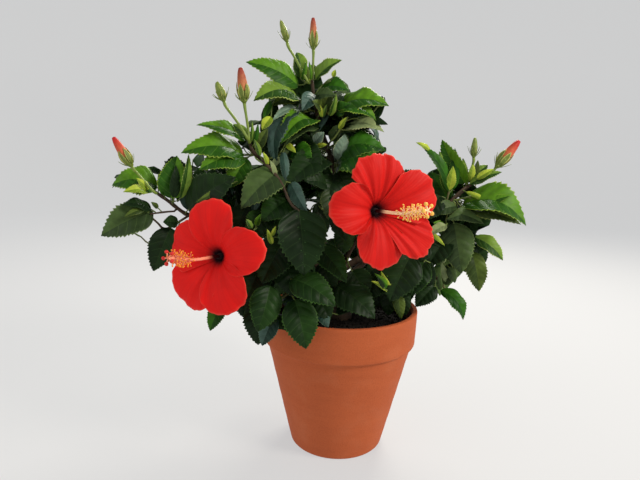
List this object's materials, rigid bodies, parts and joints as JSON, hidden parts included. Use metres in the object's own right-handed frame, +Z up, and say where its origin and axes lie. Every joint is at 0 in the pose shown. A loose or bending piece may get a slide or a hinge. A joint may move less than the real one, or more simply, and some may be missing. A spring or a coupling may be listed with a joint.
{
  "type": "potted hibiscus shrub",
  "caption": "Hibiscus shrub in a flared terracotta pot: a short woody trunk, tapering boughs and masses of broad leaves with red blooms and buds, for a patio or balcony.",
  "frame": {"origin": "centre of the pot's flat underside, on the surface that it stands on", "axes": "+Z up along the pot's axis, -Y towards the side that shows the open blooms, +X to the right of that side"},
  "size_m": [0.523, 0.354, 0.537],
  "materials": {
    "terracotta": "matte",
    "potting_soil": "matte",
    "bark": "matte",
    "foliage": "satin",
    "petal": "satin",
    "bud": "satin",
    "stamen": "matte"
  },
  "bodies": {
    "root": {"pot": "terracotta", "potting_soil": "potting_soil", "trunk": "bark", "bough_top": "bark", "bough_upper_left": "bark", "bough_left": "bark", "bough_right": "bark", "bough_front_left": "bark", "bough_front_right": "bark", "bough_low_right": "bark", "bough_low_front": "bark", "bough_back_left": "bark", "bough_back": "bark", "bough_back_right": "bark", "bough_back_low": "bark", "bough_left_low": "bark", "bough_right_tip": "bark", "foliage_top": "foliage", "foliage_upper_right": "foliage", "foliage_upper_left": "foliage", "foliage_left": "foliage", "foliage_left_low": "foliage", "foliage_front_left": "foliage", "foliage_front_right": "foliage", "foliage_low_front": "foliage", "foliage_right": "foliage", "foliage_right_low": "foliage", "foliage_right_tip": "foliage", "foliage_centre": "foliage", "foliage_upper_middle": "foliage", "foliage_left_inner": "foliage", "foliage_middle": "foliage", "foliage_right_inner": "foliage", "foliage_centre_low": "foliage", "foliage_front_low_right": "foliage", "foliage_back_top": "foliage", "foliage_back": "foliage", "foliage_back_left": "foliage", "foliage_back_right": "foliage", "foliage_back_low": "foliage"}
  },
  "joints": []
}
